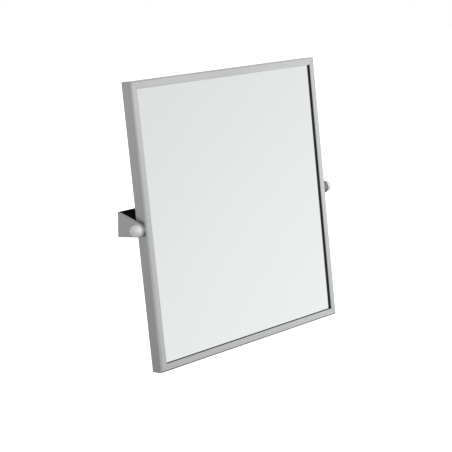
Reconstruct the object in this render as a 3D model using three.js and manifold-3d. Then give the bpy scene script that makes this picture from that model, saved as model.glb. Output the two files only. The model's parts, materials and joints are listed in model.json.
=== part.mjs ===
// Pivot wall mirror: a glazed steel frame that tilts between two wall brackets.
// Units are millimetres. X runs to the right along the wall, Y into the wall and Z up.
// The origin lies on the wall, midway between the brackets and level with the pivots.
import * as THREE from 'three';
import { mergeVertices } from 'three/addons/utils/BufferGeometryUtils.js';
import Module from 'manifold-3d';

const wasm = await Module();
wasm.setup();

// ---- Driving dimensions: frame rails ----
const FRAME_WIDTH = 550;
const FRAME_HEIGHT = 600;
const FRAME_DEPTH = 30;
const FACE_WIDTH = 16.5; // front lip that covers the edge of the mirror
const REAR_LIP = 18; // return lip behind
const RAIL_SHEET = 1.2;
const FRONT_BEND = 5; // outside radius of the fold between the front lip and the side wall
const REAR_BEND = 3; // outside radius of the fold between the side wall and the rear lip
const MITRE_GAP = 0.3;

// ---- Driving dimensions: what the rails hold ----
const TAPE_THICKNESS = 3.2;
const PANE_THICKNESS = 4;
const PANE_ARRIS = 0.5; // small chamfer ground on the edges of the glass
const FOAM_THICKNESS = 5;
const FOAM_MARGIN = 1; // how far the foam stops short of the edge of the glass
const BLOCK_LENGTH = 40;
const BLOCK_DEPTH = 8;
const BLOCK_OFFSET = 150; // each block's distance from the middle of its rail
const BLOCK_CHAMFER = 1;

// ---- Driving dimensions: back panel, a pressed tray ----
const PANEL_SHEET = 1;
const PANEL_CORNER = 8;
const PANEL_BEAD_RADIUS = 5; // outside radius of the pressed stiffening beads
const PANEL_BEAD_LENGTH = 400;
const PANEL_BEAD_OFFSET = 110;

// ---- Driving dimensions: corner joints ----
const CORNER_PLATE_LEG = 55;
const CORNER_PLATE_WIDTH = 9;
const CORNER_PLATE_THICKNESS = 3;
const CORNER_PLATE_ROUND = 2;
const CORNER_SCREW_REACH = 38; // from the outer corner of the frame, along each leg
const SCREW_RADIUS = 2;
const SCREW_HEAD_RADIUS = 3.8;
const SCREW_HEAD_HEIGHT = 2.2;
const SCREW_HEAD_CROWN = 1; // height of the rounded part of the head
const SCREW_HEAD_FLAT = 1.5; // radius of the flat on top of the head
const SCREW_LENGTH = 6;
const SCREW_POINT = 0.8; // chamfer at the end of the shank

// ---- Driving dimensions: pivots ----
const PIVOT_REACH = 66; // from the wall to the pivot axis
const PIVOT_DEPTH = 13; // from the front of the frame to the pivot axis
const REST_TILT_DEG = 8; // the top leans back and the foot stands forward
const BOLT_RADIUS = 4;
const BOLT_HEAD_FLATS = 13;
const BOLT_HEAD_HEIGHT = 4;
const BOLT_END = 0.8; // thread that shows past the nut
const BOLT_POINT = 1; // chamfer at the end of the bolt
const NUT_FLATS = 13;
const NUT_THICKNESS = 4;
const PIVOT_PLATE_LENGTH = 80;
const PIVOT_PLATE_THICKNESS = 3;
const PIVOT_PLATE_ROUND = 3;
const FRICTION_WASHER_RADIUS = 8;
const FRICTION_WASHER_THICKNESS = 1.6;
const WAVE_WASHER_RADIUS = 7.5;
const WAVE_WASHER_SHEET = 0.5;
const WAVE_HEIGHT = 0.35;
const WAVE_COUNT = 3;
const CAP_SEAT_THICKNESS = 1.2;
const CAP_RADIUS = 12;
const CAP_SKIRT = 8.5; // straight part below the dome
const CAP_WALL = 1.5;
const CAP_EDGE = 0.6;

// ---- Driving dimensions: brackets ----
const BRACKET_HEIGHT = 54;
const NOSE_RADIUS = 15;
const CHEEK_THICKNESS = 4;
const CHEEK_EDGE = 0.6; // rounding of the outline of the side plate
const CHEEK_STUD_RADIUS = 2;
const CHEEK_STUD_REACH = 20; // from the wall
const CHEEK_STUD_SPACING = 22;
const CHEEK_NUT_FLATS = 7;
const CHEEK_NUT_THICKNESS = 3.2;
const STUD_END = 0.8;
const WEB_THICKNESS = 2;
const WEB_INSET = 6; // how far the web stays inside the outline of the side plate
const FLANGE_WIDTH = 70;
const FLANGE_THICKNESS = 5;
const FLANGE_ROUND = 3;
const GUSSET_THICKNESS = 4;
const GUSSET_REACH = 34; // along the web, from the wall
const GUSSET_SPAN = 44; // along the flange, from the web
const WALL_HOLE_RADIUS = 3.25;
const WALL_HOLE_MARGIN = 15; // from the inner end of the flange
const WALL_HOLE_SPACING = 32;
const WALL_HOLE_SINK_RADIUS = 6;
const WALL_HOLE_SINK_DEPTH = 3;

// ---- Clearances ----
const LAYER_GAP = 0.3; // between sheets laid flat on each other
const SEAT_GAP = 0.1; // between pieces clamped on each other
const RUNNING_GAP = 0.2; // beside faces that turn past each other
const BOLT_CLEARANCE = 0.3; // radial, round the pivot bolt
const SCREW_CLEARANCE = 0.15; // radial, round screws and studs
const CAP_CLEARANCE = 0.4; // radial, between the dome cap and the disc that it snaps over
const PANE_EDGE_GAP = 0.9; // from the end of the pivot bolt to the edge of the glass
const PANEL_SIDE_GAP = 0.9; // from the corner plates to the back panel
const CUT_MARGIN = 1; // how far a cutting tool runs past the face that it cuts

// ---- Fineness of round forms ----
const BEND_STEPS = 4;
const ROUND_STEPS = 6;
const CROWN_STEPS = 3;
const NOSE_STEPS = 18;
const TURN_STEPS = 32;
const SMALL_TURN_STEPS = 16;
const STEPS_PER_WAVE = 12;
const WELD_TOLERANCE = 1e-4;

// ---- Sizes that follow from the ones above ----
const REST_TILT = THREE.MathUtils.degToRad(REST_TILT_DEG);
const HOLE_RADIUS = BOLT_RADIUS + BOLT_CLEARANCE;

// Depths behind the front of the frame, layer by layer.
const tapeFront = RAIL_SHEET + LAYER_GAP;
const tapeBack = tapeFront + TAPE_THICKNESS;
const paneFront = tapeBack + LAYER_GAP;
const paneBack = paneFront + PANE_THICKNESS;
const foamFront = paneBack + LAYER_GAP;
const panelFront = foamFront + FOAM_THICKNESS + LAYER_GAP;
const rearLipFront = FRAME_DEPTH - RAIL_SHEET;
const panelBack = rearLipFront - LAYER_GAP;
const cornerPlateBack = rearLipFront - SEAT_GAP;

// The flat of a rail's side wall, between its two folds, and what lies against it.
const wallFlatFront = FRONT_BEND + SEAT_GAP;
const wallFlatBack = FRAME_DEPTH - REAR_BEND - SEAT_GAP;
const blockFront = Math.max(paneFront, wallFlatFront);

// Distances inward from the outer faces of the frame.
const plateInset = RAIL_SHEET + SEAT_GAP;
const nutInset = plateInset + PIVOT_PLATE_THICKNESS + SEAT_GAP;
const boltEndInset = nutInset + NUT_THICKNESS + BOLT_END;
const paneInset = boltEndInset + PANE_EDGE_GAP;
const tapeInset = Math.max(nutInset, FRONT_BEND) + LAYER_GAP;
const cornerPlateInset = REAR_BEND + SEAT_GAP;
const cornerScrewInset = cornerPlateInset + CORNER_PLATE_WIDTH / 2;
const panelInset = cornerPlateInset + CORNER_PLATE_WIDTH + PANEL_SIDE_GAP;

// Distances outward from the side faces of the frame, along the pivot axis.
const frictionWasherIn = RUNNING_GAP;
const webIn = frictionWasherIn + FRICTION_WASHER_THICKNESS + RUNNING_GAP;
const webOut = webIn + WEB_THICKNESS;
const cheekIn = webOut + SEAT_GAP;
const cheekOut = cheekIn + CHEEK_THICKNESS;
const capSeatIn = cheekOut + SEAT_GAP;
const waveWasherIn = capSeatIn + CAP_SEAT_THICKNESS + RUNNING_GAP;
const waveWasherOut = waveWasherIn + WAVE_WASHER_SHEET + WAVE_HEIGHT;
const boltHeadIn = waveWasherOut + RUNNING_GAP;

// ---- Finishes ----
const FINISH = {
  brushedSteel: { color: 0xb9bbb9, roughness: 0.34, metalness: 1 },
  galvanised: { color: 0xa6abad, roughness: 0.5, metalness: 1 },
  zincPlate: { color: 0xc4c6c2, roughness: 0.35, metalness: 1 },
  polishedCap: { color: 0xe2e3e2, roughness: 0.22, metalness: 1 },
  silveredGlass: { color: 0xe6ebe9, roughness: 0.02, metalness: 1 },
  blackRubber: { color: 0x151616, roughness: 0.8, metalness: 0 },
  greyFoam: { color: 0x4a4c4e, roughness: 0.95, metalness: 0 },
  blackCoat: { color: 0x0d0d0e, roughness: 0.55, metalness: 0 },
  whiteNylon: { color: 0xd9d8d2, roughness: 0.6, metalness: 0 },
  darkNylon: { color: 0x2a2a2b, roughness: 0.6, metalness: 0 },
};

// ---- Solids and shapes ----

// The volume that the triangles enclose; it is negative where the faces point inward.
function signedVolume(position, index) {
  const [a, b, c] = [new THREE.Vector3(), new THREE.Vector3(), new THREE.Vector3()];
  let sum = 0;
  for (let i = 0; i < index.length; i += 3) {
    a.fromBufferAttribute(position, index[i]);
    b.fromBufferAttribute(position, index[i + 1]);
    c.fromBufferAttribute(position, index[i + 2]);
    sum += a.dot(b.cross(c)) / 6;
  }
  return sum;
}

// Shares the vertices of a closed geometry, drops collapsed triangles and points its faces out.
function weld(geometry) {
  const bare = geometry.clone();
  bare.deleteAttribute('normal');
  bare.deleteAttribute('uv');
  const merged = mergeVertices(bare, WELD_TOLERANCE);
  const source = merged.index.array;
  const kept = [];
  for (let i = 0; i < source.length; i += 3) {
    const [a, b, c] = source.subarray(i, i + 3);
    if (a !== b && b !== c && c !== a) kept.push(a, b, c);
  }
  if (signedVolume(merged.attributes.position, kept) < 0) kept.reverse();
  merged.setIndex(kept);
  return merged;
}

// A geometry as a solid that can be joined and cut.
function solid(geometry) {
  const welded = weld(geometry);
  const vertProperties = new Float32Array(welded.attributes.position.array);
  const triVerts = new Uint32Array(welded.index.array);
  return new wasm.Manifold(new wasm.Mesh({ numProp: 3, vertProperties, triVerts }));
}

// The surface of a solid, as a geometry.
function surface(body) {
  const mesh = body.getMesh();
  const geometry = new THREE.BufferGeometry();
  geometry.setAttribute('position', new THREE.BufferAttribute(mesh.vertProperties, 3));
  geometry.setIndex(new THREE.BufferAttribute(mesh.triVerts, 1));
  return geometry;
}

// Joins the geometries in the first list and cuts those in the second list out of them.
function assemble(joined, cut = []) {
  const [first, ...others] = joined.map(solid);
  const whole = others.reduce((sum, next) => sum.add(next), first);
  return surface(cut.map(solid).reduce((rest, next) => rest.subtract(next), whole));
}

// One named piece of the mirror with its own material.
function piece(name, geometry, finish) {
  const shown = weld(geometry);
  shown.computeVertexNormals();
  const mesh = new THREE.Mesh(shown, new THREE.MeshStandardMaterial(finish));
  mesh.name = name;
  return mesh;
}

// A closed outline through corners given as [x, y, rounding].
function roundedOutline(corners) {
  const shape = new THREE.Shape();
  corners.forEach(([x, y, rounding], i) => {
    const corner = new THREE.Vector2(x, y);
    const [before, after] = [corners.at(i - 1), corners[(i + 1) % corners.length]].map(([u, v]) =>
      new THREE.Vector2(u, v).sub(corner).setLength(rounding).add(corner));
    if (i === 0) shape.moveTo(before.x, before.y);
    else shape.lineTo(before.x, before.y);
    if (rounding > 0) shape.quadraticCurveTo(x, y, after.x, after.y);
  });
  shape.closePath();
  return shape;
}

// A rectangle between two corners.
function box([left, low], [right, high], rounding = 0) {
  return roundedOutline([
    [left, low, rounding],
    [right, low, rounding],
    [right, high, rounding],
    [left, high, rounding],
  ]);
}

// A rectangle with its middle at the origin.
function rectangle(width, height, rounding = 0) {
  return box([-width / 2, -height / 2], [width / 2, height / 2], rounding);
}

function hexagon(flats) {
  const shape = new THREE.Shape();
  const corner = flats / Math.sqrt(3);
  for (let i = 0; i < 6; i += 1) {
    const angle = (i * Math.PI) / 3;
    const [x, y] = [corner * Math.cos(angle), corner * Math.sin(angle)];
    if (i === 0) shape.moveTo(x, y);
    else shape.lineTo(x, y);
  }
  shape.closePath();
  return shape;
}

function roundHole(x, y, radius) {
  const hole = new THREE.Path();
  hole.absarc(x, y, radius, 0, 2 * Math.PI, false);
  return hole;
}

// A shape drawn in X and Z, given thickness from the depth front to the depth back.
function sheet(shape, front, back, options = {}) {
  const depth = back - front;
  const settings = { depth, bevelEnabled: false, curveSegments: ROUND_STEPS, ...options };
  return new THREE.ExtrudeGeometry(shape, settings).rotateX(Math.PI / 2).translate(0, back, 0);
}

// A shape drawn in Y and Z, given thickness along X.
const ALONG_X = new THREE.Matrix4().makeBasis(
  new THREE.Vector3(0, 1, 0), new THREE.Vector3(0, 0, 1), new THREE.Vector3(1, 0, 0));
function slab(shape, from, to, options = {}) {
  const settings = { depth: to - from, bevelEnabled: false, curveSegments: ROUND_STEPS, ...options };
  return new THREE.ExtrudeGeometry(shape, settings).applyMatrix4(ALONG_X).translate(from, 0, 0);
}

// A profile of [radius, distance] pairs turned about the X axis.
function turned(profile, steps = TURN_STEPS) {
  const points = profile.map(([radius, distance]) => new THREE.Vector2(radius, distance));
  return new THREE.LatheGeometry(points, steps).rotateZ(-Math.PI / 2);
}

// A plain rod along X, used for shanks and for drilling.
function rod(radius, from, to, steps = SMALL_TURN_STEPS) {
  return turned([[0, from], [radius, from], [radius, to], [0, to]], steps);
}

// Points on a quarter ellipse that rises from a rim inward to a flat of its own radius.
function crownArc(rim, flat, base, rise, steps) {
  const points = [];
  for (let i = 0; i <= steps; i += 1) {
    const angle = (i / steps) * (Math.PI / 2);
    const radius = i === steps ? flat : flat + (rim - flat) * Math.cos(angle);
    points.push([radius, base + rise * Math.sin(angle)]);
  }
  return points;
}

// Points on a quarter circle round [0, height], from the radius inward to the axis.
function domeArc(radius, height) {
  return crownArc(radius, 0, height, radius, ROUND_STEPS);
}

// ---- The frame: four mitred channel rails and what is laid along each ----

// The folded channel: its first axis runs inward from the outer face, its second to the back.
function railSection() {
  const rearFold = FRAME_DEPTH - REAR_BEND;
  const [quarter, half] = [Math.PI / 2, Math.PI];
  const section = new THREE.Shape();
  section.moveTo(FACE_WIDTH, 0);
  section.lineTo(FACE_WIDTH, RAIL_SHEET);
  section.absarc(FRONT_BEND, FRONT_BEND, FRONT_BEND - RAIL_SHEET, -quarter, -half, true);
  section.absarc(REAR_BEND, rearFold, REAR_BEND - RAIL_SHEET, half, quarter, true);
  section.lineTo(REAR_LIP, rearLipFront);
  section.lineTo(REAR_LIP, FRAME_DEPTH);
  section.absarc(REAR_BEND, rearFold, REAR_BEND, quarter, half, false);
  section.absarc(FRONT_BEND, FRONT_BEND, FRONT_BEND, half, half + quarter, false);
  section.closePath();
  return section;
}

// The soft tape between the front lip and the glass.
function tapeSection() {
  return box([tapeInset, tapeFront], [FACE_WIDTH, tapeBack]);
}

// A bar of one section with its ends cut at 45 degrees. It runs along X, reaches inward along
// -Z from the outer face at z = 0, and back along Y from the front at y = 0.
function mitredBar(section, halfLength) {
  const settings = { depth: 1, bevelEnabled: false, curveSegments: BEND_STEPS };
  const geometry = new THREE.ExtrudeGeometry(section, settings);
  const position = geometry.attributes.position;
  for (let i = 0; i < position.count; i += 1) {
    const inward = position.getX(i);
    const back = position.getY(i);
    const reach = halfLength - inward - MITRE_GAP / 2;
    position.setXYZ(i, position.getZ(i) > 0 ? reach : -reach, back, -inward);
  }
  return geometry;
}

function rail(halfLength, hasPivot) {
  const lipScrewHole = rod(SCREW_RADIUS + SCREW_CLEARANCE, 0, RAIL_SHEET + 2 * CUT_MARGIN);
  const cuts = [-1, 1].map((end) => lipScrewHole.clone().rotateZ(Math.PI / 2).translate(
    end * (halfLength - CORNER_SCREW_REACH), rearLipFront - CUT_MARGIN, -cornerScrewInset));
  if (hasPivot) {
    const drill = rod(HOLE_RADIUS, -CUT_MARGIN, RAIL_SHEET + CUT_MARGIN);
    cuts.push(drill.rotateY(Math.PI / 2).translate(0, PIVOT_DEPTH, 0));
  }
  return assemble([mitredBar(railSection(), halfLength)], cuts);
}

// A pan-head screw along +Y: the head's underside is at y = 0 and the shank runs to -Y.
function panScrew() {
  const crownBase = SCREW_HEAD_HEIGHT - SCREW_HEAD_CROWN;
  const shank = [
    [0, -SCREW_LENGTH],
    [SCREW_RADIUS - SCREW_POINT, -SCREW_LENGTH],
    [SCREW_RADIUS, -SCREW_LENGTH + SCREW_POINT],
    [SCREW_RADIUS, 0],
  ];
  const crown = crownArc(
    SCREW_HEAD_RADIUS, SCREW_HEAD_FLAT, crownBase, SCREW_HEAD_CROWN, CROWN_STEPS);
  const profile = [...shank, [SCREW_HEAD_RADIUS, 0], ...crown, [0, SCREW_HEAD_HEIGHT]];
  return turned(profile, SMALL_TURN_STEPS).rotateZ(Math.PI / 2);
}

// A block that keeps the edge of the glass off the rail.
function edgeBlock() {
  const outer = -RAIL_SHEET - SEAT_GAP;
  const inner = SEAT_GAP - paneInset;
  const outline = box([-BLOCK_LENGTH / 2, inner], [BLOCK_LENGTH / 2, outer], BLOCK_CHAMFER);
  return sheet(outline, blockFront, blockFront + BLOCK_DEPTH, { curveSegments: 1 });
}

const LEVEL_RAIL = { out: FRAME_HEIGHT / 2, halfLength: FRAME_WIDTH / 2, hasPivot: false };
const UPRIGHT_RAIL = { out: FRAME_WIDTH / 2, halfLength: FRAME_HEIGHT / 2, hasPivot: true };
const RAIL_SIDES = [
  { name: 'top', turn: 0, ...LEVEL_RAIL },
  { name: 'right', turn: Math.PI / 2, ...UPRIGHT_RAIL },
  { name: 'bottom', turn: Math.PI, ...LEVEL_RAIL },
  { name: 'left', turn: -Math.PI / 2, ...UPRIGHT_RAIL },
];

function frameSide({ name, turn, out, halfLength, hasPivot }) {
  const side = new THREE.Group();
  side.rotation.y = turn;
  side.position.set(out * Math.sin(turn), -PIVOT_DEPTH, out * Math.cos(turn));
  side.add(piece(`frame_rail_${name}`, rail(halfLength, hasPivot), FINISH.brushedSteel));
  side.add(piece(`glazing_tape_${name}`, mitredBar(tapeSection(), halfLength), FINISH.blackRubber));
  [-1, 1].forEach((end, i) => {
    const screw = piece(`corner_screw_${name}_${i + 1}`, panScrew(), FINISH.zincPlate);
    const screwPlace = end * (halfLength - CORNER_SCREW_REACH);
    screw.position.set(screwPlace, FRAME_DEPTH + SEAT_GAP, -cornerScrewInset);
    const block = piece(`edge_block_${name}_${i + 1}`, edgeBlock(), FINISH.whiteNylon);
    block.position.x = end * BLOCK_OFFSET;
    side.add(screw, block);
  });
  return side;
}

// ---- Corner plates: flat angles behind the mitres, tapped for the corner screws ----

// The plate of the upper right corner, with the frame's outer corner at the origin.
function cornerPlate() {
  const near = -cornerPlateInset;
  const far = -cornerPlateInset - CORNER_PLATE_LEG;
  const inner = near - CORNER_PLATE_WIDTH;
  const outline = roundedOutline([
    [near, near, CORNER_PLATE_ROUND],
    [far, near, CORNER_PLATE_ROUND],
    [far, inner, CORNER_PLATE_ROUND],
    [inner, inner, CORNER_PLATE_ROUND],
    [inner, far, CORNER_PLATE_ROUND],
    [near, far, CORNER_PLATE_ROUND],
  ]);
  const tapped = SCREW_RADIUS + SCREW_CLEARANCE;
  outline.holes.push(roundHole(-CORNER_SCREW_REACH, -cornerScrewInset, tapped));
  outline.holes.push(roundHole(-cornerScrewInset, -CORNER_SCREW_REACH, tapped));
  return sheet(outline, cornerPlateBack - CORNER_PLATE_THICKNESS, cornerPlateBack);
}

const FRAME_CORNERS = [
  { name: 'top_right', turn: 0, right: 1, up: 1 },
  { name: 'bottom_right', turn: Math.PI / 2, right: 1, up: -1 },
  { name: 'bottom_left', turn: Math.PI, right: -1, up: -1 },
  { name: 'top_left', turn: -Math.PI / 2, right: -1, up: 1 },
];

function frameCorner({ name, turn, right, up }) {
  const plate = piece(`corner_plate_${name}`, cornerPlate(), FINISH.galvanised);
  plate.rotation.y = turn;
  plate.position.set((right * FRAME_WIDTH) / 2, -PIVOT_DEPTH, (up * FRAME_HEIGHT) / 2);
  return plate;
}

// ---- Glass, foam and back panel ----

function mirrorPane() {
  const outline = rectangle(FRAME_WIDTH - 2 * paneInset, FRAME_HEIGHT - 2 * paneInset);
  return sheet(outline, paneFront + PANE_ARRIS, paneBack - PANE_ARRIS, {
    bevelEnabled: true,
    bevelThickness: PANE_ARRIS,
    bevelSize: PANE_ARRIS,
    bevelOffset: -PANE_ARRIS,
    bevelSegments: 1,
  });
}

function foamPad() {
  const inset = paneInset + FOAM_MARGIN;
  const outline = rectangle(FRAME_WIDTH - 2 * inset, FRAME_HEIGHT - 2 * inset);
  return sheet(outline, foamFront, foamFront + FOAM_THICKNESS);
}

// A long round-ended rod along Z, for pressing a stiffening bead into the panel.
function beadForm(radius) {
  const straight = PANEL_BEAD_LENGTH / 2 - PANEL_BEAD_RADIUS;
  const end = domeArc(radius, straight);
  const start = end.map(([r, z]) => [r, -z]).reverse();
  return turned([...start, ...end], SMALL_TURN_STEPS).rotateY(-Math.PI / 2);
}

// The tray: its floor lies behind the rear lips' opening and its rim presses the foam forward.
function backPanel() {
  const [width, height] = [FRAME_WIDTH - 2 * panelInset, FRAME_HEIGHT - 2 * panelInset];
  const [hollowWidth, hollowHeight] = [width - 2 * PANEL_SHEET, height - 2 * PANEL_SHEET];
  const hollow = rectangle(hollowWidth, hollowHeight, PANEL_CORNER - PANEL_SHEET);
  const outer = solid(sheet(rectangle(width, height, PANEL_CORNER), panelFront, panelBack));
  let tray = outer.subtract(solid(sheet(hollow, panelFront - CUT_MARGIN, panelBack - PANEL_SHEET)));
  const inFront = solid(sheet(rectangle(width, height), panelFront, panelBack));
  for (const side of [-1, 1]) {
    const [ridge, groove] = [PANEL_BEAD_RADIUS, PANEL_BEAD_RADIUS - PANEL_SHEET].map((radius) =>
      solid(beadForm(radius).translate(side * PANEL_BEAD_OFFSET, panelBack, 0)));
    tray = tray.add(ridge.intersect(inFront)).subtract(groove);
  }
  return surface(tray);
}

// ---- Pivot pieces that turn with the frame. Each is drawn for the right side. ----

const sideFace = FRAME_WIDTH / 2;

// A stiffener that lies across the flat of the side wall, inside the channel.
function pivotPlate() {
  const low = [wallFlatFront - PIVOT_DEPTH, -PIVOT_PLATE_LENGTH / 2];
  const high = [wallFlatBack - PIVOT_DEPTH, PIVOT_PLATE_LENGTH / 2];
  const outline = box(low, high, PIVOT_PLATE_ROUND);
  outline.holes.push(roundHole(0, 0, HOLE_RADIUS));
  const outer = sideFace - plateInset;
  return slab(outline, outer - PIVOT_PLATE_THICKNESS, outer);
}

function lockNut() {
  const outline = hexagon(NUT_FLATS);
  outline.holes.push(roundHole(0, 0, BOLT_RADIUS + SCREW_CLEARANCE));
  const outer = sideFace - nutInset;
  return slab(outline, outer - NUT_THICKNESS, outer);
}

function pivotBolt() {
  const end = sideFace - boltEndInset;
  const head = sideFace + boltHeadIn;
  const shankTop = head + BOLT_HEAD_HEIGHT / 2;
  const point = [[0, end], [BOLT_RADIUS - BOLT_POINT, end], [BOLT_RADIUS, end + BOLT_POINT]];
  const shank = turned([...point, [BOLT_RADIUS, shankTop], [0, shankTop]]);
  return assemble([shank, slab(hexagon(BOLT_HEAD_FLATS), head, head + BOLT_HEAD_HEIGHT)]);
}

function frictionWasher() {
  const from = sideFace + frictionWasherIn;
  const to = from + FRICTION_WASHER_THICKNESS;
  const outer = FRICTION_WASHER_RADIUS;
  const ring = [[HOLE_RADIUS, from], [outer, from], [outer, to], [HOLE_RADIUS, to]];
  return turned([...ring, ring[0]]);
}

// ---- Pivot and bracket pieces that stay on the wall. Each is drawn for the right side. ----

// A springy ring whose thin sheet waves round its circle.
function waveWasher() {
  const middle = sideFace + (waveWasherIn + waveWasherOut) / 2;
  const [inner, outer, half] = [HOLE_RADIUS, WAVE_WASHER_RADIUS, WAVE_WASHER_SHEET / 2];
  const ring = [[inner, -half], [outer, -half], [outer, half], [inner, half], [inner, -half]];
  const geometry = turned(ring, WAVE_COUNT * STEPS_PER_WAVE);
  const position = geometry.attributes.position;
  for (let i = 0; i < position.count; i += 1) {
    const angle = Math.atan2(position.getZ(i), position.getY(i));
    const wave = (WAVE_HEIGHT / 2) * Math.cos(WAVE_COUNT * angle);
    position.setX(i, position.getX(i) + wave);
  }
  return geometry.translate(middle, 0, 0);
}

// The disc that the dome cap snaps over.
function capSeat() {
  const from = sideFace + capSeatIn;
  const to = from + CAP_SEAT_THICKNESS;
  const outer = CAP_RADIUS - CAP_WALL - CAP_CLEARANCE;
  const ring = [[HOLE_RADIUS, from], [outer, from], [outer, to], [HOLE_RADIUS, to]];
  return turned([...ring, ring[0]]);
}

function domeCap() {
  const base = sideFace + cheekOut + SEAT_GAP;
  const top = base + CAP_SKIRT;
  const inner = domeArc(CAP_RADIUS - CAP_WALL, top).reverse();
  const outer = domeArc(CAP_RADIUS, top);
  const edge = [[CAP_RADIUS - CAP_EDGE, base], [CAP_RADIUS, base + CAP_EDGE]];
  return turned([...inner, [CAP_RADIUS - CAP_WALL, base], ...edge, ...outer]);
}

// The side view of a bracket in Y and Z: upright at the wall, tapering to a round nose.
function bracketOutline(inset) {
  const rise = BRACKET_HEIGHT / 2 - inset;
  const radius = NOSE_RADIUS - inset;
  const cornerAngle = Math.atan2(rise, PIVOT_REACH);
  const tangent = cornerAngle + Math.acos(radius / Math.hypot(rise, PIVOT_REACH));
  const outline = new THREE.Shape();
  outline.moveTo(0, -rise);
  outline.lineTo(0, rise);
  outline.absarc(-PIVOT_REACH, 0, radius, tangent, 2 * Math.PI - tangent, false);
  outline.closePath();
  return outline;
}

const CHEEK_STUDS = [-1, 1].map((end) => [-CHEEK_STUD_REACH, (end * CHEEK_STUD_SPACING) / 2]);

// The steel side plate with the two studs that hold it on the web.
function bracketCheek() {
  const rolledEdge = {
    bevelEnabled: true,
    bevelThickness: CHEEK_EDGE,
    bevelSize: CHEEK_EDGE,
    bevelOffset: -CHEEK_EDGE,
    bevelSegments: 2,
    curveSegments: NOSE_STEPS,
  };
  const [inner, outer] = [sideFace + cheekIn, sideFace + cheekOut];
  const plate = slab(bracketOutline(0), inner + CHEEK_EDGE, outer - CHEEK_EDGE, rolledEdge);
  const studEnd = sideFace + webIn - CHEEK_NUT_THICKNESS - SEAT_GAP - STUD_END;
  const stud = rod(CHEEK_STUD_RADIUS, studEnd, (inner + outer) / 2);
  const studs = CHEEK_STUDS.map(([y, z]) => stud.clone().translate(0, y, z));
  const drill = rod(HOLE_RADIUS, sideFace, outer + CUT_MARGIN);
  return assemble([plate, ...studs], [drill.translate(0, -PIVOT_REACH, 0)]);
}

// The gusset in X and Y: it fills the corner between the flange and the web up to an oval sweep.
function gusset() {
  const [webMiddle, flangeMiddle] = [sideFace + (webIn + webOut) / 2, -FLANGE_THICKNESS / 2];
  const foot = sideFace + webIn - GUSSET_SPAN;
  const shape = new THREE.Shape();
  shape.moveTo(webMiddle, flangeMiddle);
  shape.lineTo(webMiddle, -GUSSET_REACH);
  shape.absellipse(
    foot, -GUSSET_REACH, GUSSET_SPAN, GUSSET_REACH - FLANGE_THICKNESS, 0, Math.PI / 2, false);
  shape.lineTo(foot, flangeMiddle);
  shape.closePath();
  const settings = { depth: GUSSET_THICKNESS, bevelEnabled: false, curveSegments: ROUND_STEPS };
  return new THREE.ExtrudeGeometry(shape, settings).translate(0, 0, -GUSSET_THICKNESS / 2);
}

// The flange on the wall, square beside the web and with round corners at its inner end.
function wallFlange(innerEnd, outerEnd) {
  const half = BRACKET_HEIGHT / 2;
  const outline = roundedOutline([
    [innerEnd, -half, FLANGE_ROUND],
    [outerEnd, -half, 0],
    [outerEnd, half, 0],
    [innerEnd, half, FLANGE_ROUND],
  ]);
  return sheet(outline, -FLANGE_THICKNESS, 0);
}

// The cutter for one wall screw, with a sunk mouth at the front of the flange.
function wallHole() {
  const mouth = -FLANGE_THICKNESS - CUT_MARGIN;
  return turned([
    [0, mouth],
    [WALL_HOLE_SINK_RADIUS, mouth],
    [WALL_HOLE_SINK_RADIUS, -FLANGE_THICKNESS],
    [WALL_HOLE_RADIUS, -FLANGE_THICKNESS + WALL_HOLE_SINK_DEPTH],
    [WALL_HOLE_RADIUS, CUT_MARGIN],
    [0, CUT_MARGIN],
  ]).rotateZ(Math.PI / 2);
}

// The coated casting: a wall flange, a web beside the frame and a gusset between them.
function bracketBody() {
  const [webInside, webOutside] = [sideFace + webIn, sideFace + webOut];
  const flangeEnd = webOutside - FLANGE_WIDTH;
  const web = slab(bracketOutline(WEB_INSET), webInside, webOutside, { curveSegments: NOSE_STEPS });
  const wallHoles = [-1, 1].map((end) =>
    wallHole().translate(flangeEnd + WALL_HOLE_MARGIN, 0, (end * WALL_HOLE_SPACING) / 2));
  const studHole = rod(CHEEK_STUD_RADIUS + SCREW_CLEARANCE, sideFace, webOutside + CUT_MARGIN);
  const studHoles = CHEEK_STUDS.map(([y, z]) => studHole.clone().translate(0, y, z));
  const pivotHole = rod(HOLE_RADIUS, sideFace, webOutside + CUT_MARGIN);
  pivotHole.translate(0, -PIVOT_REACH, 0);
  return assemble(
    [wallFlange(flangeEnd, webOutside), web, gusset()], [...wallHoles, ...studHoles, pivotHole]);
}

function cheekNut() {
  const outline = hexagon(CHEEK_NUT_FLATS);
  outline.holes.push(roundHole(0, 0, CHEEK_STUD_RADIUS + SCREW_CLEARANCE));
  const outer = sideFace + webIn - SEAT_GAP;
  return slab(outline, outer - CHEEK_NUT_THICKNESS, outer);
}

// ---- Assembly ----

const tiltingFrame = new THREE.Group();
tiltingFrame.position.set(0, -PIVOT_REACH, 0);
tiltingFrame.rotation.x = -REST_TILT;
RAIL_SIDES.forEach((side) => tiltingFrame.add(frameSide(side)));
FRAME_CORNERS.forEach((corner) => tiltingFrame.add(frameCorner(corner)));

const glazing = new THREE.Group();
glazing.position.set(0, -PIVOT_DEPTH, 0);
glazing.add(
  piece('mirror_pane', mirrorPane(), FINISH.silveredGlass),
  piece('foam_pad', foamPad(), FINISH.greyFoam),
  piece('back_panel', backPanel(), FINISH.galvanised),
);
tiltingFrame.add(glazing);

const mirror = new THREE.Group();
mirror.add(tiltingFrame);

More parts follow.
